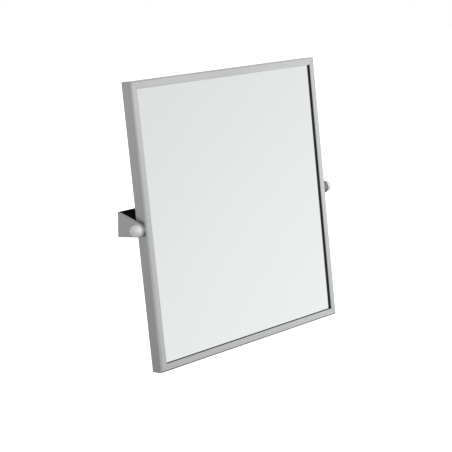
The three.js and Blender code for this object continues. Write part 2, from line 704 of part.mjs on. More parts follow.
for (const { name, mirrored } of [{ name: 'left', mirrored: -1 }, { name: 'right', mirrored: 1 }]) {
  const turning = new THREE.Group();
  turning.scale.x = mirrored;
  turning.add(
    piece(`pivot_plate_${name}`, pivotPlate(), FINISH.galvanised),
    piece(`lock_nut_${name}`, lockNut(), FINISH.zincPlate),
    piece(`pivot_bolt_${name}`, pivotBolt(), FINISH.zincPlate),
    piece(`friction_washer_${name}`, frictionWasher(), FINISH.darkNylon),
  );
  tiltingFrame.add(turning);

  const fixed = new THREE.Group();
  fixed.scale.x = mirrored;
  fixed.add(
    piece(`bracket_body_${name}`, bracketBody(), FINISH.blackCoat),
    piece(`bracket_cheek_${name}`, bracketCheek(), FINISH.brushedSteel),
  );
  CHEEK_STUDS.forEach(([y, z], i) => {
    const nut = piece(`cheek_nut_${name}_${i + 1}`, cheekNut(), FINISH.zincPlate);
    nut.position.set(0, y, z);
    fixed.add(nut);
  });
  const onPivot = new THREE.Group();
  onPivot.position.y = -PIVOT_REACH;
  onPivot.add(
    piece(`cap_seat_${name}`, capSeat(), FINISH.darkNylon),
    piece(`wave_washer_${name}`, waveWasher(), FINISH.zincPlate),
    piece(`dome_cap_${name}`, domeCap(), FINISH.polishedCap),
  );
  fixed.add(onPivot);
  mirror.add(fixed);
}

export default mirror;
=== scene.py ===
# %% [markdown]
# # Pivot wall mirror
# A mirror in a frame of folded, brushed steel channel hangs between two wall brackets and tilts
# about one axis. The imported model already has every piece at its real size. This lesson gives
# each piece the surface that the real one has: rounder folds, a pressed rear tray, screws with a
# driver recess, and procedural finishes. The model is loaded first.

# %% Load the imported model
import json
import math

import bmesh
import bpy
from mathutils import Matrix, Vector


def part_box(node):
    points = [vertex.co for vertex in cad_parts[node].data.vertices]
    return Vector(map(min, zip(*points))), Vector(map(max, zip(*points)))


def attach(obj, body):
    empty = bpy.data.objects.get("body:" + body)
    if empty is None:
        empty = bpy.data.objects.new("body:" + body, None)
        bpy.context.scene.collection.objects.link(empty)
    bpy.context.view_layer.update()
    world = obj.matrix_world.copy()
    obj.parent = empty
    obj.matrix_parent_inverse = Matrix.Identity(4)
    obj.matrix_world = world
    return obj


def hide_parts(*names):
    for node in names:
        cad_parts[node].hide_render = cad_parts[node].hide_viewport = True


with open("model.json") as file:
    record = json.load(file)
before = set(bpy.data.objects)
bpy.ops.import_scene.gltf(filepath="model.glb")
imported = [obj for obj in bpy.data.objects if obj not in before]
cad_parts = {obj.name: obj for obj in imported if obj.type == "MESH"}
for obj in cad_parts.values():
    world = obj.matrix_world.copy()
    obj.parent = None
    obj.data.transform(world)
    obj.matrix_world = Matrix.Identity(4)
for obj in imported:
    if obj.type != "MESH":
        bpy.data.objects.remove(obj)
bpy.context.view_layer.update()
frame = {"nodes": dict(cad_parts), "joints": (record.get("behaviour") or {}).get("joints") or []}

MM = 0.001
scene = bpy.context.scene
scene.view_settings.view_transform = "Standard"

# %% [markdown]
# At rest the mirror leans back a little. Pieces are easier to draw upright, with the pivot axis
# through the origin, and to lean back at the end. The lean could be typed in, but the largest
# face of the glass already points where the mirror looks, so the angle is read from it.

# %% Measure the lean of the mirror
TURNING, FIXED = "tilting_mirror", "wall_brackets"
pane_mesh = frame["nodes"]["mirror_pane"].data
front = max((face for face in pane_mesh.polygons if face.normal.y < 0), key=lambda face: face.area)
lean = math.atan2(front.normal.z, -front.normal.y)
pivot = Vector(frame["joints"][0]["pos_m"])
LEAN_BACK = Matrix.Translation(pivot) @ Matrix.Rotation(-lean, 4, "X")


def upright_box(node):
    """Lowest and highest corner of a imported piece, with the mirror stood upright on its pivots."""
    upright = LEAN_BACK.inverted()
    corners = [upright @ vertex.co for vertex in frame["nodes"][node].data.vertices]
    return (Vector(min(c[i] for c in corners) for i in range(3)),
            Vector(max(c[i] for c in corners) for i in range(3)))


print("lean", round(math.degrees(lean), 2), "degrees about", list(pivot))

# %% [markdown]
# The photograph was taken from the left front and a little above, with a long lens. The camera
# stands where a fit to the straight edges of the frame puts it. Its place is given in metres from
# the wall, and the small shift moves the picture as the photograph's framing does.

# %% Camera
CAMERA_PLACE = (-1.954, -2.000, 0.676)
CAMERA_YAW, CAMERA_PITCH = math.radians(44.77), math.radians(13.66)
PICTURE_PIXELS, FOCAL_PIXELS = 452, 1304.9
PICTURE_SHIFT = -0.05
SENSOR = 36

camera_data = bpy.data.cameras.new("camera")
camera_data.sensor_width = SENSOR
camera_data.lens = FOCAL_PIXELS / PICTURE_PIXELS * SENSOR
camera_data.shift_y = PICTURE_SHIFT
camera = bpy.data.objects.new("camera", camera_data)
camera.location = CAMERA_PLACE
camera.rotation_euler = (math.pi / 2 - CAMERA_PITCH, 0, -CAMERA_YAW)
scene.collection.objects.link(camera)
scene.camera = camera
print("lens", round(camera_data.lens, 1), "mm")

# %% [markdown]
# Materials are small networks of nodes. A helper adds one node, sets its options and fills its
# sockets, so that each finish below reads as a short list. A second helper makes a colour ramp,
# which turns a grey pattern into a range of tones.


# %% Helpers for shader nodes
def add(tree, kind, sockets=None, **options):
    """A new node. A socket gets either a plain value or the output of another node."""
    node = tree.nodes.new("ShaderNode" + kind)
    for option, value in options.items():
        setattr(node, option, value)
    for socket, value in (sockets or {}).items():
        if isinstance(value, bpy.types.NodeSocket):
            tree.links.new(value, node.inputs[socket])
        else:
            node.inputs[socket].default_value = value
    return node


def ramp(tree, factor, stops):
    """A colour ramp over factor, with its stops given as (place, tone or colour)."""
    node = add(tree, "ValToRGB", {"Fac": factor})
    elements = node.color_ramp.elements
    while len(elements) < len(stops):
        elements.new(0.5)
    for element, (place, tone) in zip(elements, stops):
        element.position = place
        element.color = (*tone, 1) if isinstance(tone, tuple) else (tone, tone, tone, 1)
    return node.outputs["Color"]


print("node helpers: add, ramp")

# %% [markdown]
# Polished metal shows what stands round it, so most of its look is made by the surroundings. A
# ring of lamps would leave their shapes in the glass. A studio tent is softer, and here the world
# is the tent. One list of tones runs round it, from the bright cloth on the right to the grey at
# the back left, and a second one from underfoot to overhead. Each entry is a place on that way,
# from 0 to 1, and its tone. Together they light the front lips and leave the left side wall
# darker. A grey card stands low in front: the glass is a sharp mirror and looks past it, but the
# satin lips blur it in and grow darker towards the foot.

# %% Tones of the studio tent
GREY_SIDE = Vector((-0.96, 0.29, 0)).normalized()
AROUND = [(0.0, 1.70), (0.02, 1.45), (0.046, 1.0), (0.085, 0.92), (0.35, 0.80),
          (0.75, 0.66), (0.9, 0.56), (1.0, 0.44)]
UPWARD = [(0.0, 0.40), (0.28, 0.46), (0.32, 0.62), (0.36, 0.90), (0.42, 0.985),
          (0.535, 0.86), (0.58, 0.94), (0.66, 1.10), (0.74, 1.08), (0.84, 0.64), (1.0, 0.70)]
CARD_AROUND = [(0.10, 0.0), (0.13, 1.0), (0.30, 1.0), (0.45, 0.0)]
CARD_UPWARD = [(0.44, 1.0), (0.52, 0.0)]
CARD_TONE = 0.37
print("tent tones", AROUND[0][1], "to", AROUND[-1][1], "round it, card", CARD_TONE)

# %% [markdown]
# The world's own nodes turn these tones into light. A ray's direction says how far it points
# towards the grey side and how far up, and each of the two picks its tone from a ramp. The cloth
# and the card are both such a product of two ramps. The camera alone sees the tent as plain
# white, which the Is Camera Ray output of Light Path makes possible.

# %% Build the tent
world = bpy.data.worlds.new("studio tent")
world.use_nodes = True
scene.world = world
tent = world.node_tree
tent.nodes.clear()
direction = add(tent, "TexCoord").outputs["Generated"]
towards_grey = add(tent, "VectorMath", {0: direction, 1: GREY_SIDE}, operation="DOT_PRODUCT")
around = add(tent, "MapRange", {"Value": towards_grey.outputs["Value"], "From Min": -1.0})
height = add(tent, "SeparateXYZ", {"Vector": direction})
upward = add(tent, "MapRange", {"Value": height.outputs["Z"], "From Min": -1.0})
cloth_tone, card = [
    add(tent, "Math", operation="MULTIPLY", sockets={
        0: ramp(tent, around.outputs["Result"], sideways),
        1: ramp(tent, upward.outputs["Result"], upright),
    }).outputs["Value"]
    for sideways, upright in ((AROUND, UPWARD), (CARD_AROUND, CARD_UPWARD))]
shade = add(tent, "MapRange", {"Value": card, "To Min": 1.0, "To Max": CARD_TONE})
tone = add(tent, "Math", {0: cloth_tone, 1: shade.outputs["Result"]}, operation="MULTIPLY")
cloth = add(tent, "Background", {"Color": (1, 1, 1, 1), "Strength": tone.outputs["Value"]})
white = add(tent, "Background", {"Color": (1, 1, 1, 1), "Strength": 1.0})
seen = add(tent, "LightPath").outputs["Is Camera Ray"]
mixed = add(tent, "MixShader", {0: seen, 1: cloth.outputs[0], 2: white.outputs[0]})
add(tent, "OutputWorld", {"Surface": mixed.outputs[0]})
print("tent of", len(tent.nodes), "nodes")

# %% [markdown]
# A soft lamp above and in front adds a little direction. A broad one gives soft edges to the
# shadows. It is kept out of reflections, so that the glass shows the tent alone.

# %% Lamp
LAMP_PLACE = Vector((1.1, -2.1, 2.2))
LAMP_SIZE, LAMP_WATTS = 1.8, 30
lamp_data = bpy.data.lights.new("soft lamp", "AREA")
lamp_data.size = LAMP_SIZE
lamp_data.energy = LAMP_WATTS
lamp = bpy.data.objects.new("soft lamp", lamp_data)
lamp.location = LAMP_PLACE
lamp.rotation_euler = (pivot - LAMP_PLACE).to_track_quat("-Z", "Y").to_euler()
lamp.visible_glossy = False
scene.collection.objects.link(lamp)
print("lamp", LAMP_WATTS, "W at", list(LAMP_PLACE))

# %% [markdown]
# The mirror hangs on a wall at eye height, so the floor lies well below it. It is a broad pale
# disc that takes the mirror's shadow. To the camera it also glows a little, which lifts its tone
# to the white of the tent and keeps the shadow in it. Reflections see through it to the tent.

# %% Floor
FLOOR_DEPTH, FLOOR_RADIUS = 1.1, 14
FLOOR_TONE = 0.9
floor_shape = bmesh.new()
bmesh.ops.create_circle(floor_shape, cap_ends=True, segments=96, radius=FLOOR_RADIUS)
bmesh.ops.translate(floor_shape, vec=(0, 0, -FLOOR_DEPTH), verts=floor_shape.verts)
floor_mesh = bpy.data.meshes.new("floor")
floor_shape.to_mesh(floor_mesh)
floor_shape.free()
floor = bpy.data.objects.new("floor", floor_mesh)
scene.collection.objects.link(floor)
floor.visible_glossy = False

pale = bpy.data.materials.new("pale floor")
pale.use_nodes = True
tree = pale.node_tree
tree.nodes.clear()
paint = add(tree, "BsdfDiffuse", {"Color": (FLOOR_TONE, FLOOR_TONE, FLOOR_TONE, 1)})
lift = add(tree, "Emission", {"Color": (1, 1, 1, 1),
                              "Strength": add(tree, "LightPath").outputs["Is Camera Ray"]})
lifted = add(tree, "AddShader", {0: paint.outputs[0], 1: lift.outputs[0]})
add(tree, "OutputMaterial", {"Surface": lifted.outputs[0]})
floor_mesh.materials.append(pale)
print("floor", FLOOR_DEPTH, "m below the pivots")

# %% [markdown]
# New pieces are built as bmeshes. Two helpers finish them. The first joins, drills or trims one
# bmesh with another by Blender's Boolean modifier, which leaves one clean closed shell. The
# second makes the object: it smooths shallow angles, keeps flat faces flat with a Weighted Normal
# modifier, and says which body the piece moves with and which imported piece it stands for.

# %% Helpers that join and finish pieces
SMOOTH_BELOW = math.radians(35)
SAME_POINT = 0.002 * MM


def as_object(name, shape):
    """A new object with the bmesh as its mesh. The bmesh is used up."""
    mesh = bpy.data.meshes.new(name)
    shape.to_mesh(mesh)
    shape.free()
    piece = bpy.data.objects.new(name, mesh)
    scene.collection.objects.link(piece)
    return piece


def combine(base, tool, operation):
    """The bmesh base joined with, drilled by or trimmed to the bmesh tool."""
    worked, cutter = as_object("worked", base), as_object("cutter", tool)
    boolean = worked.modifiers.new("combine", "BOOLEAN")
    boolean.operation, boolean.solver, boolean.object = operation, "EXACT", cutter
    graph = bpy.context.evaluated_depsgraph_get()
    result = bmesh.new()
    result.from_object(worked, graph)
    bmesh.ops.remove_doubles(result, verts=result.verts, dist=SAME_POINT)
    bmesh.ops.dissolve_degenerate(result, edges=result.edges, dist=SAME_POINT)
    for spent in (worked, cutter):
        bpy.data.meshes.remove(spent.data)
    return result


def finish_piece(name, shape, body, material, stands_for, place=Matrix()):
    """The bmesh as a finished piece of the mirror, moved to its place."""
    bmesh.ops.transform(shape, matrix=place, verts=shape.verts)
    bmesh.ops.recalc_face_normals(shape, faces=shape.faces)
    piece = as_object(name, shape)
    piece.data.shade_smooth()
    piece.data.set_sharp_from_angle(angle=SMOOTH_BELOW)
    flat = piece.modifiers.new("flat faces stay flat", "WEIGHTED_NORMAL")
    flat.keep_sharp = True
    piece.data.materials.append(material)
    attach(piece, body)
    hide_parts(*stands_for)
    print(name, len(piece.data.polygons), "faces, for", ", ".join(stands_for))
    return piece


print("piece helpers: as_object, combine, finish_piece")

# %% [markdown]
# Most pieces start as a round bar or a block, are moved to their place and get rolled edges. Each
# of these steps is one bmesh operator with its settings, kept in a small helper. A bar lies along
# X, as the pivot bolts do, and serves as a pin and as a drill.


# %% Helpers that shape pieces
def rod(radius, start, end, segments=48):
    """A round bar along X, for pins and for drilling."""
    bar = bmesh.new()
    place = Matrix.Translation(((start + end) / 2, 0, 0)) @ Matrix.Rotation(math.pi / 2, 4, "Y")
    bmesh.ops.create_cone(bar, cap_ends=True, segments=segments, radius1=radius, radius2=radius,
                          depth=abs(end - start), matrix=place)
    return bar


def moved(shape, vector):
    """The same bmesh, shifted by a vector."""
    bmesh.ops.translate(shape, vec=vector, verts=shape.verts)
    return shape


def round_edges(shape, edges, radius, segments):
    """Rolls the given edges over with an arc."""
    bmesh.ops.bevel(shape, geom=edges, offset=radius, offset_type="OFFSET", segments=segments,
                    profile=0.5, affect="EDGES", material=-1, clamp_overlap=True)


def sharp_edges(shape, least=math.radians(45)):
    """The edges where two faces meet at more than the least angle."""
    return [edge for edge in shape.edges if edge.is_manifold and edge.calc_face_angle() > least]


print("shape helpers: rod, moved, round_edges, sharp_edges")

# %% [markdown]
# Brushed steel gets its look from one belt that ran along each bar. The lines are far longer than
# they are wide, so the noise is stretched: a texture mapping with its own axes, a fraction of a
# millimetre across and many centimetres along. The lines drive the roughness and a very fine
# bump, and a slow noise keeps the tone from being one flat grey. Fine grooves spread reflections
# across them and not along. Anisotropy does that: it stretches a highlight along the tangent, so
# the tangent is the grain, given a quarter turn.

# %% Brushed steel
LINE_SIZE = (120 * MM, 0.4 * MM, 0.4 * MM)
STREAK_SIZE = (450 * MM, 3 * MM, 3 * MM)
STEEL_TONE = (0.66, 0.67, 0.665)
STEEL_ROUGHNESS = (0.33, 0.43)


def brushed_steel(name, grain):
    """Satin steel. grain is the direction of the brush lines at rest."""
    steel = bpy.data.materials.new(name)
    steel.use_nodes = True
    tree = steel.node_tree
    shader = tree.nodes["Principled BSDF"]
    here = add(tree, "TexCoord").outputs["Object"]
    turn = Vector((1, 0, 0)).rotation_difference(grain).to_euler()
    lines, streaks = [
        add(tree, "TexNoise", {
            "Vector": add(tree, "Mapping", {"Vector": here, "Rotation": turn, "Scale": size},
                          vector_type="TEXTURE").outputs[0],
            "Scale": 1.0, "Detail": detail,
        }).outputs["Fac"]
        for size, detail in ((LINE_SIZE, 3.0), (STREAK_SIZE, 2.0))]
    slow = add(tree, "TexNoise", {"Vector": here, "Scale": 5.0, "Detail": 2.0}).outputs["Fac"]
    mottle = add(tree, "Math", {0: slow, 1: streaks}, operation="ADD").outputs[0]
    spread = add(tree, "MapRange", {"Value": mottle, "From Min": 0.7, "From Max": 1.3}).outputs[0]
    darker, lighter = [tuple(x * share for x in STEEL_TONE) for share in (0.95, 1.05)]
    colour = ramp(tree, spread, [(0.0, darker), (1.0, lighter)])
    smoothest, roughest = STEEL_ROUGHNESS
    rough = add(tree, "MapRange", {"Value": lines, "From Min": 0.3, "From Max": 0.7,
                                   "To Min": smoothest, "To Max": roughest}).outputs[0]
    scratch = add(tree, "Bump", {"Strength": 0.25, "Distance": 0.02 * MM, "Height": lines})
    along = add(tree, "VectorTransform", {"Vector": grain}, vector_type="VECTOR",
                convert_from="OBJECT", convert_to="WORLD").outputs[0]
    tree.links.new(colour, shader.inputs["Base Color"])
    tree.links.new(rough, shader.inputs["Roughness"])
    tree.links.new(scratch.outputs[0], shader.inputs["Normal"])
    tree.links.new(along, shader.inputs["Tangent"])
    shader.inputs["Metallic"].default_value = 1.0
    shader.inputs["Anisotropic"].default_value = 0.6
    shader.inputs["Anisotropic Rotation"].default_value = 0.25
    return steel


UP_THE_FRAME = LEAN_BACK.to_3x3() @ Vector((0, 0, 1))
steel_across = brushed_steel("brushed steel, across", Vector((1, 0, 0)))
steel_upright = brushed_steel("brushed steel, upright", UP_THE_FRAME)
steel_side_plate = brushed_steel("brushed steel, side plate", Vector((0, 1, 0)))
print("steel grain along X, up the frame and out from the wall")

# %% [markdown]
# The other metals share one recipe. Zinc coats steel in crystals, which show as faint patches
# with their own tone and gloss. Voronoi cells make the patches. Galvanised sheet has large ones,
# bright zinc plate on screws has almost none, and the steel and the castings only a slow change
# of gloss. The caps are lacquered, and a satin lacquer scatters light as well as mirroring it.
# That is why a cap is only partly metallic and looks pale on every side.


# %% Coated and polished metal
def coated_metal(name, tone, roughness, patch, contrast, metallic=1.0):
    """Metal with patches of a size in metres that differ in tone and gloss by contrast."""
    metal = bpy.data.materials.new(name)
    metal.use_nodes = True
    tree = metal.node_tree
    shader = tree.nodes["Principled BSDF"]
    here = add(tree, "TexCoord").outputs["Object"]
    wander = add(tree, "TexNoise", {"Vector": here, "Scale": 0.5 / patch, "Detail": 3.0})
    cells = add(tree, "TexVoronoi", {"Vector": here, "Scale": 1 / patch})
    patches = add(tree, "SeparateColor", {0: cells.outputs["Color"]}).outputs[0]
    mix = add(tree, "Math", {0: patches, 1: wander.outputs["Fac"]}, operation="ADD").outputs[0]
    part = add(tree, "Math", {0: mix, 1: 0.5}, operation="MULTIPLY").outputs[0]
    darker, lighter = [tuple(x * (1 + sign * contrast) for x in tone) for sign in (-1, 1)]
    rough = add(tree, "MapRange", {"Value": part, "To Min": roughness * (1 - contrast),
                                   "To Max": roughness * (1 + contrast)}).outputs[0]
    grain = add(tree, "Bump", {"Strength": 0.2, "Distance": patch * 0.002, "Height": part})
    tree.links.new(ramp(tree, part, [(0.2, darker), (0.8, lighter)]), shader.inputs["Base Color"])
    tree.links.new(rough, shader.inputs["Roughness"])
    tree.links.new(grain.outputs[0], shader.inputs["Normal"])
    shader.inputs["Metallic"].default_value = metallic
    return metal


galvanised = coated_metal("galvanised sheet", (0.62, 0.64, 0.65), roughness=0.46,
                          patch=14 * MM, contrast=0.13)
zinc = coated_metal("bright zinc plate", (0.74, 0.75, 0.74), roughness=0.30,
                    patch=3 * MM, contrast=0.05)
cap_metal = coated_metal("satin polished cap", (0.91, 0.91, 0.905), roughness=0.55,
                         patch=12 * MM, contrast=0.02, metallic=0.4)
# Partly painted shade: the cut edge is a darker grey than cut steel, which deepens the dark line along
# the plate's nose.
cut_edge_and_painted_shade = coated_metal("cut edge of steel plate, partly painted shade", (0.34, 0.34, 0.345), roughness=0.55,
                        patch=4 * MM, contrast=0.08)
# Painted light: the pale, matt inner face of the side plate lifts the shade in the gap beside the
# frame.
inner_face_painted_light = coated_metal("pale inner face of steel plate, painted light", (0.88, 0.88, 0.88), roughness=0.65,
                           patch=6 * MM, contrast=0.03)
# Painted light: the pale nose of the casting lifts the shade in the gap behind the side plate.
casting_nose_painted_light = coated_metal("pale casting nose, painted light", (0.90, 0.905, 0.91), roughness=0.60,
                            patch=3 * MM, contrast=0.05)
print("six metals, with zinc patches 14 mm and 3 mm across")

# %% [markdown]
# The glass is silvered on its back. It could be built as clear glass with a metal film behind it,
# but the two reflections lie so close together that one metal surface looks the same and stays
# clean. Float glass is a little green. A real mirror is never quite clean either: a thin film of
# dust softens the reflection in places, by so little that it shows only as depth.

# %% Silvered glass
DEEP_TINT, CLEAR_TINT = (0.885, 0.918, 0.903), (0.900, 0.928, 0.915)
MOST_HAZE = 0.012
mirror_glass = bpy.data.materials.new("silvered glass")
mirror_glass.use_nodes = True
tree = mirror_glass.node_tree
shader = tree.nodes["Principled BSDF"]
here = add(tree, "TexCoord").outputs["Object"]
film = add(tree, "TexNoise", {"Vector": here, "Scale": 4.0, "Detail": 4.0}).outputs["Fac"]
tint = ramp(tree, film, [(0.3, DEEP_TINT), (0.7, CLEAR_TINT)])
haze = add(tree, "MapRange", {"Value": film, "From Min": 0.4, "From Max": 0.8,
                              "To Min": 0.0, "To Max": MOST_HAZE}).outputs[0]
tree.links.new(tint, shader.inputs["Base Color"])
tree.links.new(haze, shader.inputs["Roughness"])
shader.inputs["Metallic"].default_value = 1.0
print("glass tint from", DEEP_TINT, "to", CLEAR_TINT)

# %% [markdown]
# Rubber, foam, nylon and powder coat are not metal, and they share one recipe as well: a colour
# that varies a little, a roughness, and a bump whose size is that of the real grain. Powder coat
# has a soft orange peel a millimetre wide, foam has open pits, and moulded nylon a fine speckle.


# %% Coats, rubber and plastics
def matt(name, tone, roughness, grain, bump, gloss=0.5):
    """A non-metal surface. grain is the width of its bumps in metres and bump is their height."""
    coat = bpy.data.materials.new(name)
    coat.use_nodes = True
    tree = coat.node_tree
    shader = tree.nodes["Principled BSDF"]
    here = add(tree, "TexCoord").outputs["Object"]
    speckle = add(tree, "TexNoise", {"Vector": here, "Scale": 1 / grain, "Detail": 3.0})
    slow = add(tree, "TexNoise", {"Vector": here, "Scale": 30.0, "Detail": 2.0}).outputs["Fac"]
    darker, lighter = [tuple(x * share for x in tone) for share in (0.85, 1.15)]
    rough = add(tree, "MapRange", {"Value": slow, "To Min": roughness - 0.06,
                                   "To Max": roughness + 0.06}).outputs[0]
    peel = add(tree, "Bump", {"Strength": 0.5, "Distance": bump, "Height": speckle.outputs["Fac"]})
    tree.links.new(ramp(tree, slow, [(0.3, darker), (0.7, lighter)]), shader.inputs["Base Color"])
    tree.links.new(rough, shader.inputs["Roughness"])
    tree.links.new(peel.outputs[0], shader.inputs["Normal"])
    shader.inputs["Specular IOR Level"].default_value = gloss
    return coat


# Partly painted shade: the black coat's colour and gloss are set lower than a real coat's, so it
# stands in for the deep shade behind the frame.
black_coat_and_painted_shade = matt("black powder coat, partly painted shade", (0.003, 0.003, 0.0035), roughness=0.55,
                  grain=1.2 * MM, bump=0.06 * MM, gloss=0.12)
rubber = matt("black rubber", (0.048, 0.050, 0.050), roughness=0.75,
              grain=0.8 * MM, bump=0.04 * MM, gloss=0.3)
grey_foam = matt("grey foam", (0.080, 0.085, 0.090), roughness=0.9, grain=1.0 * MM, bump=0.3 * MM)
white_nylon = matt("white nylon", (0.80, 0.79, 0.75), roughness=0.55,
                   grain=0.6 * MM, bump=0.02 * MM)
dark_nylon = matt("dark nylon", (0.040, 0.040, 0.042), roughness=0.55,
                  grain=0.6 * MM, bump=0.02 * MM)
print("five matt finishes")

# %% [markdown]
# Each rail is one folded steel channel: a front lip that holds the glass, a side wall and a rear
# lip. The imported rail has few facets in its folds, and a fold is where brushed steel catches the
# light, so it is made again. The strip starts as three lines, is swept to length, gets its two
# folds by a bevel each and its thickness by a solidify. The lip's cut edge is eased by a small
# bevel.

# %% Fold a rail
SHEET = 1.2 * MM
FACE_WIDTH = 16.5 * MM
FRONT_FOLD, REAR_FOLD = 5 * MM, 3 * MM
LIP_EDGE = 0.5 * MM


def edges_along(shape, back, up):
    """The edges that run along X at a place in Y and Z."""
    return [edge for edge in shape.edges
            if all(math.dist(vertex.co.yz, (back, up)) < SAME_POINT for vertex in edge.verts)]


def folded_rail(length, depth, rear_lip):
    """A channel along X. Its outer face is at Z = 0, it reaches down, and its front is at Y = 0."""
    rail = bmesh.new()
    section = [(0, -FACE_WIDTH), (0, 0), (depth, 0), (depth, -rear_lip)]
    corners = [rail.verts.new((-length / 2, back, up)) for back, up in section]
    strip = [rail.edges.new(pair) for pair in zip(corners, corners[1:])]
    swept = bmesh.ops.extrude_edge_only(rail, edges=strip)["geom"]
    far_end = [item for item in swept if isinstance(item, bmesh.types.BMVert)]
    bmesh.ops.translate(rail, vec=(length, 0, 0), verts=far_end)
    round_edges(rail, edges_along(rail, 0, 0), FRONT_FOLD, segments=14)
    round_edges(rail, edges_along(rail, depth, 0), REAR_FOLD, segments=10)
    bmesh.ops.recalc_face_normals(rail, faces=rail.faces)
    # Solidify adds its thickness behind the faces, so they have to look outwards.
    wall = max(rail.faces, key=lambda face: face.calc_center_median().z)
    if wall.normal.z < 0:
        bmesh.ops.reverse_faces(rail, faces=rail.faces)
    bmesh.ops.solidify(rail, geom=rail.faces[:], thickness=SHEET)
    round_edges(rail, edges_along(rail, 0, -FACE_WIDTH), LIP_EDGE, segments=4)
    return rail


print("rail folds", FRONT_FOLD / MM, "mm in front and", REAR_FOLD / MM, "mm behind")

# %% [markdown]
# The rails meet in mitres, each cut back by half the gap that is left between them. A slanted
# plane cuts the channel and throws the end away, and a face over the open loop closes the cut.
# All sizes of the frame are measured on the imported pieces, and one corner screw tells where all
# eight holes for them go. The top rail is drawn as it lies, and quarter turns about the pivot axis
# carry the others to their sides. Every rail is drilled for the corner screws, and the upright
# ones for the pivot bolt as well.

# %% Frame rails
MITRE_GAP = 0.3 * MM
LIP_HOLE_RADIUS, BOLT_HOLE_RADIUS = 2.15 * MM, 4.3 * MM


def mitre(rail, length):
    """Cuts both ends at 45 degrees and closes the cuts."""
    for end in (-1, 1):
        everything = rail.verts[:] + rail.edges[:] + rail.faces[:]
        cut = bmesh.ops.bisect_plane(rail, geom=everything, clear_outer=True,
                                     plane_co=(end * (length - MITRE_GAP) / 2, 0, 0),
                                     plane_no=Vector((end, 0, -1)).normalized())
        rim = [item for item in cut["geom_cut"] if isinstance(item, bmesh.types.BMEdge)]
        bmesh.ops.edgeloop_fill(rail, edges=rim)
    return rail


SIDES = [("top", 0, steel_across), ("right", 1, steel_upright),
         ("bottom", 2, steel_across), ("left", 3, steel_upright)]
frame_low, frame_high = upright_box("frame_rail_top")
frame_width = frame_high.x - frame_low.x + MITRE_GAP
frame_top, frame_front = frame_high.z, frame_low.y
frame_depth = frame_high.y - frame_front
rear_lip = frame_high.z - frame_low.z
screw_low, screw_high = upright_box("corner_screw_top_2")
screw_reach = frame_width / 2 - (screw_low.x + screw_high.x) / 2
screw_inset = frame_top - (screw_low.z + screw_high.z) / 2
for name, quarter_turns, steel in SIDES:
    upright_rail = quarter_turns % 2
    length = 2 * frame_top if upright_rail else frame_width
    out = frame_width / 2 if upright_rail else frame_top
    rail = mitre(folded_rail(length, frame_depth, rear_lip), length)
    for end in (-1, 1):
        hole = rod(LIP_HOLE_RADIUS, -2 * SHEET, 2 * SHEET)
        bmesh.ops.rotate(hole, matrix=Matrix.Rotation(math.pi / 2, 3, "Z"), verts=hole.verts)
        moved(hole, (end * (length / 2 - screw_reach), frame_depth, -screw_inset))
        rail = combine(rail, hole, "DIFFERENCE")
    if upright_rail:
        hole = rod(BOLT_HOLE_RADIUS, -2 * SHEET, 2 * SHEET)
        bmesh.ops.rotate(hole, matrix=Matrix.Rotation(math.pi / 2, 3, "Y"), verts=hole.verts)
        rail = combine(rail, moved(hole, (0, -frame_front, 0)), "DIFFERENCE")
    turn = Matrix.Rotation(quarter_turns * math.pi / 2, 4, "Y")
    place = LEAN_BACK @ turn @ Matrix.Translation((0, frame_front, out))
    finish_piece("folded_rail_" + name, rail, TURNING, steel,
                 ["frame_rail_" + name], place)

# %% [markdown]
# The bracket's side plate is flat steel, straight at the wall and tapering to a round nose. That
# outline is what a string pulled round a bar and a straight edge would follow, so a convex hull
# of the two makes it without any drawing. The casting behind it has a web of the same outline, a
# little smaller, so the plate is a helper of its own.

# %% Draw a tapered plate
WALL_STRIP = 0.1 * MM


def tapered_plate(height, nose, thickness):
    """The hull of a straight edge at the wall and a round nose at the pivot, its middle at X = 0."""
    plate = rod(nose, -thickness / 2, thickness / 2, segments=128)
    moved(plate, pivot)
    wall_edge = Matrix.Translation((0, -WALL_STRIP / 2, 0)) @ Matrix.Diagonal(
        (thickness, WALL_STRIP, height, 1))
    bmesh.ops.create_cube(plate, size=1, matrix=wall_edge)
    # Only the points of the bar and the edge stay, and the hull is spanned over them.
    bmesh.ops.delete(plate, geom=plate.edges[:], context="EDGES_FACES")
    hull = bmesh.ops.convex_hull(plate, input=plate.verts)
    inside = [item for item in hull["geom_interior"] if isinstance(item, bmesh.types.BMVert)]
    bmesh.ops.delete(plate, geom=inside, context="VERTS")
    bmesh.ops.dissolve_limit(plate, angle_limit=math.radians(0.5), use_dissolve_boundaries=False,
                             verts=plate.verts, edges=plate.edges)
    return plate


print("plate helper: tapered_plate")

# %% [markdown]
# The side plate's edges are rolled, two studs are joined on behind, and the hole for the pivot
# bolt is drilled. Only the outer face is brushed. The inner face is painted light: a pale, matt
# grey that lifts the shade in the narrow gap beside the frame. The edge is a darker grey, partly
# its own and partly painted shade along the nose. Which way a face looks tells which of the three
# finishes it gets.

# %% Side plates
PLATE_HEIGHT, NOSE_RADIUS, PLATE_THICKNESS = 54 * MM, 15 * MM, 4 * MM
PLATE_EDGE = 0.4 * MM
STUD_RADIUS, STUD_REACH, STUD_SPACING = 2 * MM, 20 * MM, 22 * MM
OUTER_FACE, INNER_FACE, CUT_EDGE = 0, 1, 2
LOOKS_SIDEWAYS = 0.8

